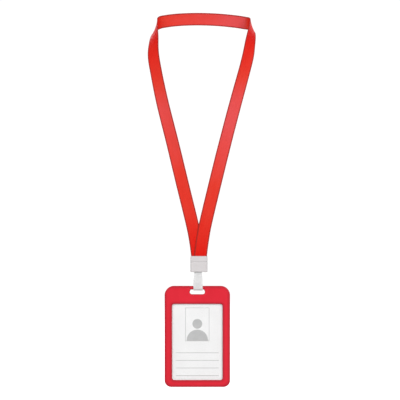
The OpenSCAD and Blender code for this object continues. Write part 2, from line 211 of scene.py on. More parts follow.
def lathe(profile, x, z, count=72):
    """Vertices and faces of a solid turned about an axis along Y. profile is (radius, y) pairs
    whose first and last lie on the axis."""
    verts, faces = [], []
    inner = profile[1:-1]
    for r, y in inner:
        verts += [(x + dx, y, z + dz) for dx, dz in arc(0, 0, r, 0, 360, count)[:-1]]
    for i in range(len(inner) - 1):
        for k in range(count):
            a, b = i * count + k, i * count + (k + 1) % count
            faces.append((a, b, b + count, a + count))
    for y, base in ((profile[0][1], 0), (profile[-1][1], (len(inner) - 1) * count)):
        verts.append((x, y, z))
        faces += [(base + k, base + (k + 1) % count, len(verts) - 1) for k in range(count)]
    return verts, faces


def extrude_x(name, profile, x0, x1, material):
    """A bar along X from x0 to x1 whose section in Y and Z is the profile; used to cut or join."""
    rings = [[(x, y, z) for y, z in profile] for x in (x0, x1)]
    return finish_mesh(name, *chains_mesh([rings]), material)


def place(obj, body, slot, *nodes):
    """Puts a piece on its body in place of CAD nodes."""
    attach(obj, body)
    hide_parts(*nodes)
    return obj


# ---------------------------------------------------------------- materials


class Shader:
    """A Principled material and short ways to build its node tree."""

    def __init__(self, name, **sockets):
        self.mat = bpy.data.materials.new(name)
        self.mat.use_nodes = True
        self.tree = self.mat.node_tree
        self.bsdf = next(n for n in self.tree.nodes if n.type == "BSDF_PRINCIPLED")
        for key, value in sockets.items():
            self.bsdf.inputs[key.replace("_", " ")].default_value = value
        self.where = self.add("ShaderNodeTexCoord").outputs["Object"]

    def add(self, kind, inputs=(), **settings):
        node = self.tree.nodes.new(kind)
        for key, value in settings.items():
            setattr(node, key, value)
        for key, value in dict(inputs).items():
            if isinstance(value, bpy.types.NodeSocket):
                self.tree.links.new(value, node.inputs[key])
            else:
                node.inputs[key].default_value = value
        return node

    def calc(self, operation, a, b=0.0, c=0.0):
        return self.add("ShaderNodeMath", {0: a, 1: b, 2: c}, operation=operation).outputs[0]

    def stretch(self, vector, x, y, z):
        inputs = {0: vector, 1: (x, y, z)}
        return self.add("ShaderNodeVectorMath", inputs, operation="MULTIPLY").outputs[0]

    def noise(self, scale, vector=None, detail=3.0, roughness=0.5):
        inputs = {"Vector": vector or self.where, "Scale": scale, "Detail": detail,
                  "Roughness": roughness}
        return self.add("ShaderNodeTexNoise", inputs).outputs["Fac"]

    def span(self, value, from_low, from_high, low, high, smooth=False):
        """Maps from_low..from_high to low..high, clamped."""
        inputs = {0: value, 1: from_low, 2: from_high, 3: low, 4: high}
        kind = "SMOOTHSTEP" if smooth else "LINEAR"
        return self.add("ShaderNodeMapRange", inputs, interpolation_type=kind).outputs[0]

    def blend(self, factor, a, b):
        """A mix of two colours, each a socket or three numbers."""
        node = self.add("ShaderNodeMix", {0: factor}, data_type="RGBA")
        for socket, value in ((node.inputs[6], a), (node.inputs[7], b)):
            if isinstance(value, bpy.types.NodeSocket):
                self.tree.links.new(value, socket)
            else:
                socket.default_value = (*value, 1)
        return node.outputs[2]

    def set(self, key, socket):
        self.tree.links.new(socket, self.bsdf.inputs[key])

    def bump(self, height, distance, strength=1.0, normal=None):
        inputs = {"Height": height, "Distance": distance, "Strength": strength}
        if normal is not None:
            inputs["Normal"] = normal
        return self.add("ShaderNodeBump", inputs).outputs[0]


def distance_from(s, lo, hi, r):
    """Distance outwards, in metres, from a rounded rectangle in X and Z; negative inside it."""
    xyz = s.add("ShaderNodeSeparateXYZ", {0: s.where})
    over = []
    for axis in (0, 2):
        middle, half = (lo[axis] + hi[axis]) / 2 * MM, ((hi[axis] - lo[axis]) / 2 - r) * MM
        off = s.calc("ABSOLUTE", s.calc("SUBTRACT", xyz.outputs[axis], middle))
        over.append(s.calc("SUBTRACT", off, half))
    squares = [s.calc("POWER", s.calc("MAXIMUM", q, 0.0), 2.0) for q in over]
    outside = s.calc("SQRT", s.calc("ADD", *squares))
    inside = s.calc("MINIMUM", s.calc("MAXIMUM", *over), 0.0)
    return s.calc("SUBTRACT", s.calc("ADD", outside, inside), r * MM)


def moulded_plastic(name, colour, tint, edge, roughness, rail_shade=False, **sockets):
    """Moulded plastic: a faint flow mottle, fine texture, a few rubbed patches, and painted shade
    in the edge colour where the surface rolls over at its edges. With rail_shade, the painted
    shade also deepens towards the edges of the holder and of its window, standing in for the
    shading of a lightly crowned rail."""
    s = Shader(name, **sockets)
    flow = s.noise(45, s.stretch(s.where, 1, 1, 0.35), detail=4, roughness=0.6)
    base = s.blend(s.span(flow, 0.35, 0.65, 0, 1), colour, tint)
    own_normal = s.add("ShaderNodeTexCoord").outputs["Normal"]
    facing = s.calc("ABSOLUTE", s.add("ShaderNodeSeparateXYZ", {0: own_normal}).outputs[1])
    # painted shade: surfaces facing sideways take the edge colour
    painted_edge_shade = s.span(facing, 0.97, 0.55, 0, 1)
    if rail_shade:
        # painted shade deepening towards the holder's outer edge and its window's edge
        outer = s.span(distance_from(s, BADGE_LO, BADGE_HI, 8), -0.0032, -0.0004, 0, 0.8)
        window = s.span(distance_from(s, WINDOW_LO, WINDOW_HI, WINDOW_R), 0.0030, 0.0003, 0, 0.8)
        painted_edge_shade = s.calc("MAXIMUM", painted_edge_shade, s.calc("MAXIMUM", outer, window))
    s.set("Base Color", s.blend(painted_edge_shade, base, edge))
    grain = s.noise(2600, detail=2)
    rubbed = s.noise(120, detail=5, roughness=0.65)
    s.set("Roughness", s.span(rubbed, 0.35, 0.7, roughness - 0.06, roughness + 0.1))
    s.set("Normal", s.bump(grain, 0.000012, 0.6, s.bump(s.noise(330, detail=3), 0.00003, 0.35)))
    return s.mat


def ribbon_material():
    """Satin polyester ribbon. The map named weave runs 0 to 1 across and in millimetres along."""
    s = Shader("satin_ribbon", Roughness=0.55, Sheen_Weight=0.015, Sheen_Roughness=0.35,
               Specular_IOR_Level=0.06)
    s.bsdf.inputs["Sheen Tint"].default_value = (1.0, 0.45, 0.45, 1)
    weave = s.add("ShaderNodeUVMap", uv_map="weave").outputs[0]
    split = s.add("ShaderNodeSeparateXYZ", {0: weave})
    across, along = split.outputs[0], split.outputs[1]
    across_mm = s.calc("MULTIPLY", across, RIBBON_W)

    def stretch_of(start, full, fading, end):
        """1 along one stretch of the ribbon, and 0 elsewhere."""
        rise = s.span(along, start, full, 0, 1, smooth=True)
        return s.calc("MULTIPLY", rise, s.span(along, fading, end, 1, 0, smooth=True))

    # the twill's slanted lines, and the weft threads that cross them
    slant = s.calc("ADD", s.calc("MULTIPLY", along, 9.0), s.calc("MULTIPLY", across_mm, 9.0))
    twill = s.span(s.calc("SINE", slant), -1, 1, 0, 1)
    weft = s.span(s.calc("SINE", s.calc("MULTIPLY", along, 21.0)), -1, 1, 0, 1)
    warp = s.span(s.calc("SINE", s.calc("MULTIPLY", across_mm, 25.0)), -1, 1, 0, 1)
    crossing = s.calc("MULTIPLY", s.calc("ADD", weft, warp), 0.2)
    threads = s.calc("ADD", s.calc("MULTIPLY", twill, 0.6), crossing)

    # long soft streaks where threads lie a little differently, and broad slow change of tone
    long_cell = {0: s.calc("MULTIPLY", across_mm, 1.6), 1: s.calc("MULTIPLY", along, 0.035)}
    streaks = s.noise(1.0, s.add("ShaderNodeCombineXYZ", long_cell).outputs[0], detail=4, roughness=0.6)
    even_cell = {0: across_mm, 1: along}
    drift = s.noise(0.028, s.add("ShaderNodeCombineXYZ", even_cell).outputs[0], detail=2)

    # painted sheen: the ribbon is paler midway up each leg of the loop and round the neck, more on the
    # right, with random drift and streaks of tone added
    xyz = s.add("ShaderNodeSeparateXYZ", {0: s.where})
    x, z = xyz.outputs[0], xyz.outputs[2]
    halfway = s.calc("MULTIPLY", s.span(z, -0.240, -0.098, 0.05, 1), s.span(z, -0.092, -0.026, 1, 0.05))
    strand = s.calc("MULTIPLY", halfway, s.span(x, -0.035, 0.03, 0.78, 1))
    neck = stretch_of(254, 266, 344, 358)
    band = s.span(x, -0.040, 0.045, 0.42, 1.0)
    painted_sheen_and_tone = s.add("ShaderNodeMix", {0: neck, 2: strand, 3: band}, data_type="FLOAT").outputs[0]
    painted_sheen_and_tone = s.calc("ADD", painted_sheen_and_tone, s.span(drift, 0.3, 0.7, -0.10, 0.10))
    painted_sheen_and_tone = s.calc("ADD", painted_sheen_and_tone, s.span(streaks, 0.25, 0.75, -0.12, 0.12))
    base = s.blend(s.span(painted_sheen_and_tone, 0, 0.5, 0, 1), RIBBON_DEEP, RIBBON_MID)
    base = s.blend(s.span(painted_sheen_and_tone, 0.5, 1, 0, 1), base, RIBBON_SHEEN_PALE)
    # painted shade: the ribbon is darker where it folds over beside the neck
    painted_turn_shade = s.calc("MAXIMUM", stretch_of(218, 234, 250, 260), stretch_of(350, 360, 368, 386))
    base = s.blend(s.calc("MULTIPLY", painted_turn_shade, 0.8), base, RIBBON_TURN_SHADE)
    edge = s.calc("ABSOLUTE", s.calc("SUBTRACT", across, 0.5))
    selvedge = s.span(edge, 0.385, 0.435, 0, 1, smooth=True)
    base = s.blend(s.calc("MULTIPLY", selvedge, 0.9), base, RIBBON_EDGE)
    base = s.blend(s.span(threads, 0.15, 0.55, 0.22, 0.0), base, RIBBON_GAP)
    s.set("Base Color", base)
    s.set("Roughness", s.span(streaks, 0.3, 0.7, 0.46, 0.62))
    s.set("Normal", s.bump(threads, 0.00007, 0.7, s.bump(streaks, 0.00012, 0.5)))
    return s.mat


def frosted_vinyl():
    """Clear soft vinyl with a frosted face, milky through its thickness."""
    s = Shader("frosted_vinyl", Roughness=0.42, Transmission_Weight=0.28, IOR=1.42,
               Specular_IOR_Level=0.35)
    cloud = s.noise(170, detail=4, roughness=0.6)
    clouded = s.span(cloud, 0.35, 0.65, 0, 1)
    s.set("Base Color", s.blend(clouded, (0.87, 0.87, 0.875), (0.93, 0.93, 0.93)))
    s.set("Roughness", s.span(s.noise(420, detail=4), 0.35, 0.65, 0.34, 0.5))
    ripple = s.bump(s.noise(260, detail=2), 0.0001, 0.35)
    s.set("Normal", s.bump(s.noise(1500, detail=3), 0.00003, 0.5, ripple))
    return s.mat


def brushed_steel():
    """A turned steel pin, its fine lines running round it."""
    s = Shader("pin_steel_finish", Metallic=1.0, Roughness=0.3)
    lines = s.noise(1.0, s.stretch(s.where, 9000, 150, 150), detail=3)
    s.set("Base Color", s.blend(s.span(lines, 0.3, 0.7, 0, 1), (0.56, 0.56, 0.57), (0.68, 0.68, 0.69)))
    s.set("Roughness", s.span(lines, 0.3, 0.7, 0.24, 0.38))
    s.set("Normal", s.bump(lines, 0.00001, 0.5))
    return s.mat


def clear_pane():
    """Thin clear plastic with faint hairline scuffs."""
    s = Shader("clear_pane_finish", Alpha=0.06, Roughness=0.06, IOR=1.49, Specular_IOR_Level=0.5)
    scuffs = s.noise(1.0, s.stretch(s.where, 180, 180, 2600), detail=4, roughness=0.7)
    haze = s.noise(60, detail=4)
    s.set("Base Color", s.blend(s.span(haze, 0.3, 0.7, 0, 1), (0.93, 0.95, 0.96), (0.98, 0.98, 0.98)))
    s.set("Roughness", s.span(scuffs, 0.45, 0.7, 0.04, 0.14))
    s.set("Normal", s.bump(haze, 0.00005, 0.2))
    return s.mat


def card_material():
    """White printable card stock: a faint fibre mottle under a thin matt varnish."""
    s = Shader("card_stock_finish", Roughness=0.5, Specular_IOR_Level=0.4, Coat_Weight=0.12,
               Coat_Roughness=0.25)
    fibre = s.noise(900, s.stretch(s.where, 1, 1, 0.5), detail=5, roughness=0.65)
    cloud = s.noise(55, detail=3)
    base = s.blend(s.span(cloud, 0.35, 0.65, 0, 1), CARD_SHADE, CARD_LIGHT)
    s.set("Base Color", s.blend(s.span(fibre, 0.35, 0.6, 0.06, 0.0), base, (0.60, 0.60, 0.60)))
    s.set("Roughness", s.span(fibre, 0.3, 0.7, 0.42, 0.58))
    s.set("Normal", s.bump(fibre, 0.00001, 0.5))
    return s.mat


def print_material():
    """Flat grey ink with a fine halftone grain."""
    s = Shader("grey_ink", Roughness=0.6, Specular_IOR_Level=0.3)
    dots = s.add("ShaderNodeTexVoronoi", {"Vector": s.where, "Scale": 2600.0}).outputs["Distance"]
    cover = s.noise(200, detail=4)
    base = s.blend(s.span(cover, 0.35, 0.65, 0, 1), INK, INK_LIGHT)
    s.set("Base Color", s.blend(s.span(dots, 0.1, 0.5, 0.0, 0.16), base, (0.7, 0.7, 0.7)))
    s.set("Roughness", s.span(cover, 0.3, 0.7, 0.52, 0.66))
    s.set("Normal", s.bump(cover, 0.000008, 0.4))
    return s.mat


CARD_LO, CARD_HI = box_mm("insert_card")
SIDE_LAP, TOP_LAP, FOOT_LAP = 2.5, 7.9, 3.95
WINDOW_LO = CARD_LO + Vector((SIDE_LAP, 0, FOOT_LAP))
WINDOW_HI = CARD_HI - Vector((SIDE_LAP, 0, TOP_LAP))
WINDOW_R = 2.3
RIBBON_W = 12.5
RIBBON_T = 0.5
RIBBON_DEEP = (0.735, 0.009, 0.004)
# the mid and pale reds are where the painted sheen lies
RIBBON_MID = (0.745, 0.045, 0.026)
RIBBON_SHEEN_PALE = (0.745, 0.083, 0.085)
RIBBON_EDGE = (0.34, 0.028, 0.022)
# painted shade colour where the ribbon folds over beside the neck
RIBBON_TURN_SHADE = (0.66, 0.004, 0.003)
RIBBON_GAP = (0.50, 0.006, 0.008)
CARD_SHADE = (0.86, 0.86, 0.86)
CARD_LIGHT = (0.89, 0.89, 0.89)
INK = (0.41, 0.41, 0.41)
INK_LIGHT = (0.45, 0.45, 0.45)
# painted edge shade colour of the red mouldings
RED_EDGE_SHADE = (0.43, 0.010, 0.024)

satin_ribbon = ribbon_material()
# each moulding's fourth colour is its painted edge shade
red_frame = moulded_plastic(
    "red_moulding", (0.69, 0.013, 0.030), (0.74, 0.017, 0.037), RED_EDGE_SHADE, 0.36,
    rail_shade=True, Specular_IOR_Level=0.25)
red_cover = moulded_plastic(
    "red_cover_moulding", (0.67, 0.013, 0.029), (0.72, 0.017, 0.036), RED_EDGE_SHADE, 0.4,
    Specular_IOR_Level=0.25)
pale_moulding = moulded_plastic(
    "pale_moulding", (0.60, 0.57, 0.575), (0.65, 0.62, 0.625), (0.50, 0.48, 0.485), 0.42,
    Specular_IOR_Level=0.3)
snap_moulding = moulded_plastic(
    "snap_moulding", (0.64, 0.64, 0.64), (0.69, 0.69, 0.69), (0.56, 0.56, 0.56), 0.36,
    Specular_IOR_Level=0.45)
vinyl = frosted_vinyl()
steel = brushed_steel()
pane_finish = clear_pane()
card_finish = card_material()
ink = print_material()

# ---------------------------------------------------------------- ribbon

# The route of the neck ribbon, as in the CAD: a point of the centre line, then the direction
# across the ribbon from its inner or upper edge to its outer or lower edge.
ROUTE = [
    (2.1, -55.3, -242.5, 0.99, 0.00, -0.11),
    (3.1, -55.3, -234.0, 0.99, 0.00, -0.12),
    (5.2, -55.3, -218.0, 0.98, 0.00, -0.18),
    (8.4, -55.2, -201.0, 0.98, 0.05, -0.20),
    (17.5, -53.0, -163.0, 0.97, 0.05, -0.24),
    (27.2, -49.5, -124.0, 0.96, 0.15, -0.25),
    (37.4, -45.0, -85.0, 0.94, 0.25, -0.26),
    (48.2, -40.0, -45.0, 0.90, 0.35, -0.28),
    (51.6, -35.5, -27.0, 0.80, 0.50, -0.40),
    (54.0, -25.0, -12.0, 0.46, 0.38, -0.80),
    (52.8, -15.0, -6.4, 0.20, 0.15, -0.97),
    (47.5, -7.5, -4.5, 0.06, 0.03, -1.00),
    (36.0, -3.0, -2.4, 0.03, 0.00, -1.00),
    (18.5, -0.5, -0.6, 0.02, 0.00, -1.00),
    (0.0, 0.0, 0.0, 0.00, 0.00, -1.00),
    (-17.3, -0.5, -0.6, -0.02, 0.00, -1.00),
    (-31.0, -3.0, -2.3, -0.03, 0.00, -1.00),
    (-38.5, -8.0, -4.8, -0.12, 0.05, -0.99),
    (-42.0, -17.0, -12.0, -0.45, 0.30, -0.84),
    (-43.0, -26.0, -23.0, -0.76, 0.48, -0.46),
    (-43.2, -33.5, -37.0, -0.87, 0.42, -0.25),
    (-40.7, -38.5, -53.0, -0.90, 0.35, -0.20),
    (-34.0, -45.0, -85.0, -0.94, 0.25, -0.22),
    (-24.2, -49.5, -124.0, -0.96, 0.15, -0.22),
    (-14.8, -53.0, -163.0, -0.97, 0.05, -0.22),
    (-5.5, -54.6, -201.0, -0.98, 0.00, -0.20),
    (-2.0, -54.7, -218.0, -0.98, 0.00, -0.17),
    (0.2, -54.7, -234.0, -0.99, 0.00, -0.12),
    (1.2, -54.7, -242.5, -0.99, 0.00, -0.11),
]
RING_STEP = 1.0


def along_route(step):
    """The route's spline, sampled evenly: centre points and directions across."""
    r = np.array(ROUTE, float)
    r = np.vstack([2 * r[0] - r[1], r, 2 * r[-1] - r[-2]])
    fine = []
    for i in range(1, len(r) - 2):
        for t in np.arange(0, 1, 0.02):
            a, b, c, d = r[i - 1], r[i], r[i + 1], r[i + 2]
            fine.append(0.5 * (2 * b + (c - a) * t + (2 * a - 5 * b + 4 * c - d) * t ** 2
                               + (3 * b - a - 3 * c + d) * t ** 3))
    fine.append(r[-2])
    fine = np.array(fine)
    length = np.concatenate([[0], np.cumsum(np.linalg.norm(np.diff(fine[:, :3], axis=0), axis=1))])
    at = np.linspace(0, length[-1], int(length[-1] / step) + 1)
    even = np.stack([np.interp(at, length, fine[:, k]) for k in range(6)], 1)
    return even[:, :3], even[:, 3:], at


def ribbon_section(count=22):
    """(across, thickness side) pairs round the ribbon's section, in millimetres, and each one's
    place across from 0 to 1. Both edges carry a slim rolled selvedge."""
    upper = []
    for k in range(count + 1):
        u = -math.cos(math.pi * k / count)
        edge = min(1.0, (1 - abs(u)) / 0.03)
        bead = math.exp(-((abs(u) - 0.945) / 0.03) ** 2)
        half = RIBBON_T / 2 * (0.86 + 0.5 * bead) * math.sqrt(max(0.0, edge * (2 - edge)))
        upper.append((u * RIBBON_W / 2, half, (u + 1) / 2))
    lower = [(x, -h, u) for x, h, u in upper[1:-1]][::-1]
    return upper + lower


def build_ribbon():
    centre, across, at = along_route(RING_STEP)
    heading = np.gradient(centre, axis=0)
    heading /= np.linalg.norm(heading, axis=1)[:, None]
    across -= (across * heading).sum(1)[:, None] * heading
    across /= np.linalg.norm(across, axis=1)[:, None]
    normal = np.cross(heading, across)
    section = ribbon_section()
    total = at[-1]
    verts, uvs = [], []
    for i, s in enumerate(at):
        free = smoothstep((min(s, total - s) - 12) / 30)
        cup = 0.22 * free * math.sin(s / 47.0 + 0.8)
        wave = 0.10 * free * (math.sin(s / 9.3) + 0.6 * math.sin(s / 5.1 + 1.3))
        for x, h, u in section:
            lift = cup * (2 * (2 * u - 1) ** 2 - 0.7) + wave * (2 * u - 1)
            verts.append(tuple(centre[i] + across[i] * x + normal[i] * (h + lift)))
            uvs.append((u, s))
    count = len(section)
    faces = []
    for i in range(len(at) - 1):
        for k in range(count):
            a, b = i * count + k, i * count + (k + 1) % count
            faces.append((a, b, b + count, a + count))
    faces.append(tuple(range(count)))
    faces.append(tuple(range((len(at) - 1) * count, len(at) * count)))
    obj = finish_mesh("ribbon_loop", verts, faces, satin_ribbon, sharp=60)
    layer = obj.data.uv_layers.new(name="weave")
    for loop in obj.data.loops:
        layer.data[loop.index].uv = uvs[loop.vertex_index]
    return obj, centre * MM, total * MM


ribbon, ribbon_path, ribbon_length = build_ribbon()
place(ribbon, "lanyard", "red_ribbon", "neck_ribbon")
CLAMP_LO, CLAMP_HI = box_mm("clamp_front")

# ---------------------------------------------------------------- holder

HOLDER_TOP, HOLDER_FOOT = BADGE_HI.z, BADGE_LO.z
FRONT_Y, BACK_Y = BADGE_LO.y, BADGE_HI.y
BAR_R = 1.8
BAR_Z = HOLDER_TOP - BAR_R
SLOT_R = 2.25
SLOT_Z = HOLDER_TOP - 2 * BAR_R - SLOT_R
SLOT_X = 7.3 - SLOT_R
NOTCH_X = 6.7
NOTCH_LIP_R = 1.2
UPPER_R, LOWER_R = 9.0, 6.5
PANE_LO, PANE_HI = box_mm("window_pane")
COVER_LO, COVER_HI = box_mm("back_cover")


def holder_outline():
    """The holder's outline, with the strap slot open to the top edge where the bar crosses it."""
    x0, x1 = BADGE_LO.x, BADGE_HI.x
    top_r, foot_r, lip = UPPER_R, LOWER_R, NOTCH_LIP_R
    meet = math.degrees(math.acos((NOTCH_X - SLOT_X) / SLOT_R))
    return (arc(x0 + foot_r, HOLDER_FOOT + foot_r, foot_r, 180, 270, 12)
            + arc(x1 - foot_r, HOLDER_FOOT + foot_r, foot_r, 270, 360, 12)
            + arc(x1 - top_r, HOLDER_TOP - top_r, top_r, 0, 90, 14)
            + arc(NOTCH_X + lip, HOLDER_TOP - lip, lip, 90, 180, 5)
            + arc(SLOT_X, SLOT_Z, SLOT_R, meet, -90, 14)
            + arc(-SLOT_X, SLOT_Z, SLOT_R, -90, -180 - meet, 14)
            + arc(-NOTCH_X - lip, HOLDER_TOP - lip, lip, 0, 90, 5)
            + arc(x0 + top_r, HOLDER_TOP - top_r, top_r, 90, 180, 14))


def build_front_frame():
    edge, back_edge, window_edge, seam = 1.05, 0.4, 1.0, 0.15
    outline = holder_outline()
    pocket_gap = 0.3
    pocket = round_rect(CARD_LO.x - pocket_gap, CARD_LO.z - pocket_gap, CARD_HI.x + pocket_gap,
                        CARD_HI.z + pocket_gap, 1, 1)
    window = round_rect(WINDOW_LO.x, WINDOW_LO.z, WINDOW_HI.x, WINDOW_HI.z, WINDOW_R, WINDOW_R)
    gap = 0.1
    rebate = round_rect(COVER_LO.x - gap, COVER_LO.z - gap, COVER_HI.x + gap, COVER_HI.z + gap, 1.1, 1.1)
    outside = walls(outline, rounding(edge, FRONT_Y, 1) + rounding(back_edge, BACK_Y, -1)[::-1])
    ease = 0.05
    inside = (walls(window, rounding(window_edge, FRONT_Y, 1) + [(0, PANE_LO.y - 2 * ease)], -1)
              + walls(window, [(2 * ease, PANE_LO.y)], -1)
              + walls(pocket, [(-ease, PANE_LO.y), (0, PANE_LO.y + ease), (0, COVER_LO.y - ease)], -1)
              + walls(pocket, [(ease, COVER_LO.y)], -1)
              + walls(rebate, [(0, COVER_LO.y), (0, BACK_Y - seam)], -1)
              + walls(rebate, [(seam * 0.3, BACK_Y - seam * 0.3), (seam, BACK_Y),
                               (seam + FLAT_MARGIN, BACK_Y)], -1))
    obj = finish_mesh("front_moulding", *chains_mesh([outside, inside]), red_frame)
    bar_profile = [(BAR_R * math.cos(a) + BADGE_Y, BAR_R * math.sin(a) + BAR_Z)
                   for a in np.linspace(0, 2 * math.pi, 48, endpoint=False)]
    past = NOTCH_X + 1
    cut(obj, extrude_x("bar_tool", bar_profile, -past, past, red_frame), "UNION")
    slit = [(PANE_HI.y, CARD_LO.z - pocket_gap), (COVER_LO.y, CARD_LO.z - pocket_gap),
            (COVER_LO.y, CARD_HI.z + pocket_gap), (PANE_HI.y, CARD_HI.z + pocket_gap)]
    cut(obj, extrude_x("slit_tool", slit, CARD_HI.x - 2, BADGE_HI.x + 2, red_frame))
    return obj


place(build_front_frame(), "holder", "red_plastic", "front_frame")

thumb_x, thumb_h, thumb_z = 12, 7, (CARD_LO.z + CARD_HI.z) / 2
thumb_r = thumb_h - 0.01
thumb = round_rect(-thumb_x, thumb_z - thumb_h, thumb_x, thumb_z + thumb_h, thumb_r, thumb_r, 14)
cover_outline = round_rect(COVER_LO.x, COVER_LO.z, COVER_HI.x, COVER_HI.z, 1, 1)
cover = finish_mesh(
    "cover_panel",
    *chains_mesh(plate(cover_outline, COVER_LO.y, COVER_HI.y, 0.1, 0.18, [(thumb, 0.2, 0.55)])),
    red_cover)
place(cover, "holder", "red_plastic", "back_cover")

pane_outline = round_rect(PANE_LO.x, PANE_LO.z, PANE_HI.x, PANE_HI.z, 1, 1)
pane_solid = chains_mesh(plate(pane_outline, PANE_LO.y, PANE_HI.y, 0.06, 0.06))
pane = finish_mesh("window_sheet", *pane_solid, pane_finish)
place(pane, "holder", "clear_pane", "window_pane")

# ---------------------------------------------------------------- card and its print

card_outline = round_rect(CARD_LO.x, CARD_LO.z, CARD_HI.x, CARD_HI.z, 3.2, 3.2, 14)
card_solid = chains_mesh(plate(card_outline, CARD_LO.y, CARD_HI.y, 0.07, 0.07))
card = finish_mesh("id_card", *card_solid, card_finish)
place(card, "card", "card_stock", "insert_card")


def build_print():
    """The printed layer: a thin frame with a plain head and shoulders in it, over ruled lines."""
    lo, hi = box_mm("card_print")
    y0, y1 = lo.y, hi.y
    line, photo_w, photo_h = 0.4, 23.24, 32.5
    top = hi.z
    solids = []

    def flat(outline, holes=()):
        ends = [(0, y0), (0, y1)]
        solids.append([walls(outline, ends)] + [walls(h, ends, -1) for h in holes])

    def rect(x0, z0, x1, z1):
        return [(x0, z0), (x1, z0), (x1, z1), (x0, z1)]

    # the frame and the bust are one solid, because the bust stands on the frame's lower line
    bust_r, bust_drop, foot = 10.34, 21.38, top - photo_h + line
    centre = top - bust_drop - bust_r
    start = math.degrees(math.asin((foot - centre) / bust_r))
    dome = arc(0, centre, bust_r, start, 180 - start, 96)
    x1, z1 = photo_w / 2 - line, top - line
    opening = [(x1, foot), (x1, z1), (-x1, z1), (-x1, foot)] + dome[::-1]
    flat(rect(-photo_w / 2, top - photo_h, photo_w / 2, top), [opening])
    head_r, head_drop = 4.71, 15.7
    flat(arc(0, top - head_drop, head_r, 0, 360, 96)[:-1])
    rule_w, rule_h, pitch, rules = hi.x - lo.x, 0.5, 7.38, 4
    for k in range(rules):
        z = lo.z + k * pitch
        flat(rect(-rule_w / 2, z, rule_w / 2, z + rule_h))
    verts, faces = [], []
    for chains in solids:
        v, f = chains_mesh(chains)
        faces += [tuple(i + len(verts) for i in face) for face in f]
        verts += v
    return finish_mesh("printed_layer", verts, faces, ink)


place(build_print(), "card", "grey_print", "card_print")

# ---------------------------------------------------------------- clamp

CLAMP_TOP, CLAMP_FOOT = CLAMP_HI.z, CLAMP_LO.z
CLAMP_X = (CLAMP_LO.x + CLAMP_HI.x) / 2
CLAMP_W = CLAMP_HI.x - CLAMP_LO.x
HALF_T = BADGE_Y - CLAMP_LO.y
GROOVE_Z = CLAMP_TOP - 5.8
PIN_LO, PIN_HI = box_mm("clamp_pin")
PIN_Z = (PIN_LO.z + PIN_HI.z) / 2
STRAP_LO, STRAP_HI = box_mm("strap")
STRAP_X = (STRAP_LO.x + STRAP_HI.x) / 2


def clamp_section(side, inset, z):
    """One half's outline at a level: flat at the parting face, round at its outer corners."""
    half_w, t = CLAMP_W / 2 - inset, HALF_T - inset
    r, seam = 1.1, 0.18
    pts = (arc(-half_w + seam, -seam, seam, 90, 180, 3)
           + arc(-half_w + r, -t + r, r, 180, 270, 8)
           + arc(half_w - r, -t + r, r, 270, 360, 8)
           + arc(half_w - seam, -seam, seam, 0, 90, 3))
    return [(CLAMP_X + x, BADGE_Y - side * y, z) for x, y in pts]


def clamp_levels(grooved):
    """(inset, z) pairs up one half: a rounded foot and top, and between them on the grooved half
    a body with a slight waist, a groove and a lip."""
    r = 0.7
    angles = [math.radians(a) for a in range(0, 91, 15)]
    rim = [(r * (1 - math.sin(a)) + 0.001, r * (1 - math.cos(a))) for a in angles]
    levels = [(inset, CLAMP_FOOT + rise) for inset, rise in rim]
    if grooved:
        for k in range(1, 6):
            levels.append((0.16 * math.sin(math.pi * k / 6), lerp(CLAMP_FOOT + r, GROOVE_Z - 0.9, k / 6)))
        groove = [(0.02, -0.9), (0.06, -0.7), (0.26, -0.35), (0.36, 0), (0.26, 0.3), (0.04, 0.55),
                  (0.0, 0.75)]
        levels += [(inset, GROOVE_Z + rise) for inset, rise in groove]
    return levels + [(inset, CLAMP_TOP - drop) for inset, drop in rim[::-1]]


def build_clamp_half(name, side):
    """One half of the clamp, with the toothed seat for the ribbon and the strap's cavity cut out."""
    rings = [clamp_section(side, inset, z) for inset, z in clamp_levels(side < 0)]
    obj = finish_mesh(name, *chains_mesh([rings]), pale_moulding)
    wide = CLAMP_W / 2 + 1
    depth, tooth, seat_foot = 0.85, 0.4, CLAMP_TOP - 8.3
    seat = [(-1 * side, seat_foot), (depth * side, seat_foot)]
    for k in (1, 2, 3):
        z = seat_foot + 2 * k
        seat += [(depth * side, z - 0.5), ((depth - tooth) * side, z), (depth * side, z + 0.5)]
    seat += [(depth * side, CLAMP_TOP - 0.5), ((depth + 0.5) * side, CLAMP_TOP + 0.3),
             (-1 * side, CLAMP_TOP + 0.3)]
    seat = [(BADGE_Y + y, z) for y, z in seat]
    cut(obj, extrude_x("seat_tool", seat, CLAMP_X - wide, CLAMP_X + wide, pale_moulding))
    r, half_w = 2.7, 5
    cavity = [(r * math.sin(math.radians(a)) * side, PIN_Z + r * math.cos(math.radians(a)))
              for a in range(0, 91, 10)]
    flare = HALF_T - r
    cavity += [(r * side, CLAMP_FOOT + flare), ((r + flare * 0.75) * side, CLAMP_FOOT - 0.5),
               (-1 * side, CLAMP_FOOT - 0.5), (-1 * side, PIN_Z + r)]
    cavity = [(BADGE_Y + y, z) for y, z in cavity]
    cut(obj, extrude_x("cavity_tool", cavity, CLAMP_X - half_w, CLAMP_X + half_w, pale_moulding))
    return obj


place(build_clamp_half("clamp_front_shell", -1), "lanyard", "pale_plastic", "clamp_front")
place(build_clamp_half("clamp_back_shell", 1), "lanyard", "pale_plastic", "clamp_back")

# ---------------------------------------------------------------- strap

STRAP_T = 0.8
PIN_TURN = 1.05 + STRAP_T / 2
BAR_TURN = 1.9 + STRAP_T / 2
SNAP_Z = BAR_Z + 7.4
LEG_Y = 0.2 + STRAP_T / 2
TAB_Y = 2.6 + STRAP_T / 2
REACH = 4.5
END_R = 1.8
W_TOP, W_BAR = 7.4, 9.0


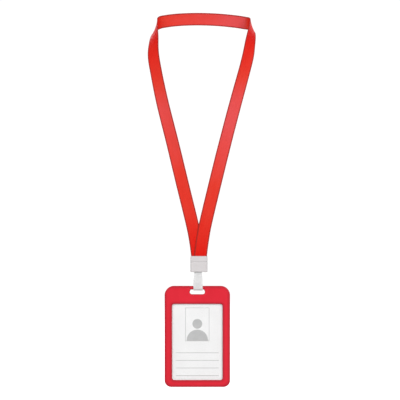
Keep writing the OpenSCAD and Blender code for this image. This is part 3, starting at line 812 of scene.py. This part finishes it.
def polyline(points, step=0.35):
    """Points in Y and Z laid evenly along straight runs."""
    out = [points[0]]
    for a, b in zip(points, points[1:]):
        n = max(1, int(math.dist(a, b) / step))
        out += [(lerp(a[0], b[0], k / n), lerp(a[1], b[1], k / n)) for k in range(1, n + 1)]
    return out


def strap_width(z):
    """The strap's width at a level: it narrows from the bar up to the clamp."""
    return lerp(W_BAR, W_TOP, smoothstep((z - HOLDER_TOP - 2) / (CLAMP_FOOT - HOLDER_TOP - 2)))


def softened(path, rounds=3):
    """The path with its corners eased, ends kept."""
    p = np.array(path, float)
    for _ in range(rounds):
        p[1:-1] = 0.25 * p[:-2] + 0.5 * p[1:-1] + 0.25 * p[2:]
    return p


def strap_piece(name, path, round_start, round_end):
    """A strip along a path in Y and Z, with soft edges and, where asked, a rounded end."""
    p = softened(path)
    steps = np.linalg.norm(np.diff(p, axis=0), axis=1)
    at = np.concatenate([[0], np.cumsum(steps)])
    heading = np.gradient(p, axis=0)
    heading /= np.linalg.norm(heading, axis=1)[:, None]
    rings = []
    for i, (y, z) in enumerate(p):
        narrow = 0.0
        for wanted, s in ((round_start, at[i]), (round_end, at[-1] - at[i])):
            if wanted and s < END_R:
                narrow = max(narrow, END_R - math.sqrt(max(0.0, END_R ** 2 - (END_R - s) ** 2)))
        half_w, half_t, r = strap_width(z) / 2 - narrow * 0.92, STRAP_T / 2, 0.28
        cx, cn = half_w - r, half_t - r
        low = [(lerp(-cx, cx, k / 8), -half_t) for k in range(1, 8)]
        high = [(x, half_t) for x, _ in low][::-1]
        pts = (arc(-cx, -cn, r, 180, 270, 4) + low + arc(cx, -cn, r, 270, 360, 4)
               + arc(cx, cn, r, 0, 90, 4) + high + arc(-cx, cn, r, 90, 180, 4))
        ny, nz = -heading[i][1], heading[i][0]
        rings.append([(STRAP_X + x, BADGE_Y + y + ny * n, z + nz * n) for x, n in pts])
    return finish_mesh(name, *chains_mesh([rings]), vinyl, sharp=50)


def turn_of(r, z, start, end, step):
    """(y, z) points round the pin or the bar, its angles in degrees from straight back."""
    return [(r * math.cos(math.radians(a)), z + r * math.sin(math.radians(a)))
            for a in range(start, end + 1, step)]


over_pin = turn_of(PIN_TURN, PIN_Z, 0, 180, 9)
under_bar = turn_of(BAR_TURN, BAR_Z, 180, 270, 6)
behind_bar = turn_of(BAR_TURN, BAR_Z, 270, 360, 6)
inner_leg = polyline([(LEG_Y, SNAP_Z - REACH), (LEG_Y, SNAP_Z + REACH), (PIN_TURN, PIN_Z)])
front_leg = polyline([(-PIN_TURN, PIN_Z), (-BAR_TURN, BAR_Z)])
tab_leg = polyline([(BAR_TURN, BAR_Z), (TAB_Y, BAR_Z + 3.5), (TAB_Y, SNAP_Z + REACH)])

strap = strap_piece("strap_band", inner_leg + over_pin[1:] + front_leg[1:] + under_bar[1:], True, False)
place(strap, "strap", "strap_vinyl", "strap")
tab = strap_piece("strap_tab_leg", behind_bar + tab_leg[1:], False, True)
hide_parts("strap_tab")
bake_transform(tab)

# ---------------------------------------------------------------- snap


def turned(name, node, body, profile):
    """A piece of the snap from its (radius, y) profile, y from the badge's middle plane."""
    solid = lathe([(r, BADGE_Y + y) for r, y in profile], STRAP_X, SNAP_Z)
    place(finish_mesh(name, *solid, snap_moulding, sharp=40), body, "snap_plastic", node)


turned("snap_cap_button", "snap_cap", "tab",
       [(0, 4.16), (1.9, 4.16), (2.1, 4.18), (2.3, 4.26), (2.5, 4.3), (3.1, 4.3), (3.45, 4.26),
        (3.75, 4.12), (3.93, 3.9), (4.0, 3.65), (4.0, 3.5), (3.95, 3.41), (3.88, 3.4), (0, 3.4)])
turned("snap_socket_ring", "snap_socket", "tab",
       [(0, 2.3), (1.84, 2.3), (1.85, 2.28), (1.85, 1.75), (1.9, 1.65), (2.0, 1.6), (3.35, 1.6),
        (3.5, 1.65), (3.6, 1.8), (3.6, 2.45), (3.56, 2.57), (3.48, 2.6), (0, 2.6)])
turned("snap_stud_button", "snap_stud", "strap",
       [(0, 2.2), (1.1, 2.2), (1.35, 2.12), (1.5, 1.95), (1.5, 1.82), (1.36, 1.66), (1.36, 1.56),
        (1.44, 1.5), (3.05, 1.5), (3.16, 1.46), (3.2, 1.38), (3.2, 1.08), (3.15, 1.0), (0, 1.0)])
turned("snap_post_head", "snap_stud_post", "strap",
       [(0, -0.5), (2.6, -0.5), (2.95, -0.44), (3.14, -0.28), (3.2, -0.1), (3.2, 0.1), (3.14, 0.18),
        (3.05, 0.2), (0, 0.2)])

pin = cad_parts["clamp_pin"]
pin.data.materials.clear()
pin.data.materials.append(steel)

# ---------------------------------------------------------------- floor, world and lights


def build_floor():
    """A wide pale disc below the badge, as bright as the background where the camera sees it."""
    count = 120
    rings = [[(x, y, FLOOR_Z) for x, y in arc(0, 0, r, 0, 360, count)[:-1]]
             for r in (150, 400, 900, 2000, 4500, 12000)]
    verts = [p for ring in rings for p in ring] + [(0, 0, FLOOR_Z)]
    faces = []
    for i in range(len(rings) - 1):
        for k in range(count):
            a, b = i * count + k, i * count + (k + 1) % count
            faces.append((a, b, b + count, a + count))
    faces += [(k, (k + 1) % count, len(verts) - 1) for k in range(count)]
    s = Shader("pale_floor", Roughness=0.9, Specular_IOR_Level=0.1)
    mottle = s.span(s.noise(3, detail=3), 0.3, 0.7, 0, 1)
    s.set("Base Color", s.blend(mottle, (0.60, 0.60, 0.60), (0.62, 0.62, 0.62)))
    s.bsdf.inputs["Emission Color"].default_value = (1, 1, 1, 1)
    seen_directly = s.add("ShaderNodeLightPath").outputs["Is Camera Ray"]
    s.set("Emission Strength", s.calc("MULTIPLY", seen_directly, 0.72))
    finish_mesh("floor", verts, faces, s.mat)


FLOOR_Z = HOLDER_FOOT - 45
build_floor()

# the world is white to the camera, and dimmer as a light
BACKGROUND, AMBIENT = 1.05, 0.5

world = bpy.data.worlds.new("studio")
scene.world = world
world.use_nodes = True
tree = world.node_tree
tree.nodes.clear()
ray = tree.nodes.new("ShaderNodeLightPath")
mix = tree.nodes.new("ShaderNodeMixShader")
out = tree.nodes.new("ShaderNodeOutputWorld")
for socket, strength in ((2, BACKGROUND), (1, AMBIENT)):
    shade = tree.nodes.new("ShaderNodeBackground")
    shade.inputs[0].default_value = (1, 1, 1, 1)
    shade.inputs[1].default_value = strength
    tree.links.new(shade.outputs[0], mix.inputs[socket])
tree.links.new(ray.outputs["Is Camera Ray"], mix.inputs[0])
tree.links.new(mix.outputs[0], out.inputs[0])


def soft_light(name, place_mm, size, watts):
    """A square area light aimed at a point in the badge's plane, above the clamp."""
    data = bpy.data.lights.new(name, "AREA")
    data.size = size
    data.energy = watts
    obj = bpy.data.objects.new(name, data)
    obj.location = Vector(place_mm) * MM
    aim = Vector((0, BADGE_Y, LIGHT_AIM_Z)) - Vector(place_mm)
    obj.rotation_euler = aim.to_track_quat("-Z", "Y").to_euler()
    scene.collection.objects.link(obj)


LIGHT_AIM_Z = -200
soft_light("key", (1300, -1700, 900), 0.8, 25)
soft_light("fill", (-1300, -1700, 600), 0.9, 15)
soft_light("back_key", (-1100, 1600, 800), 0.9, 20)
soft_light("back_fill", (1300, 1500, 500), 0.9, 12)

scene.view_settings.view_transform = "Standard"
scene.view_settings.look = "None"
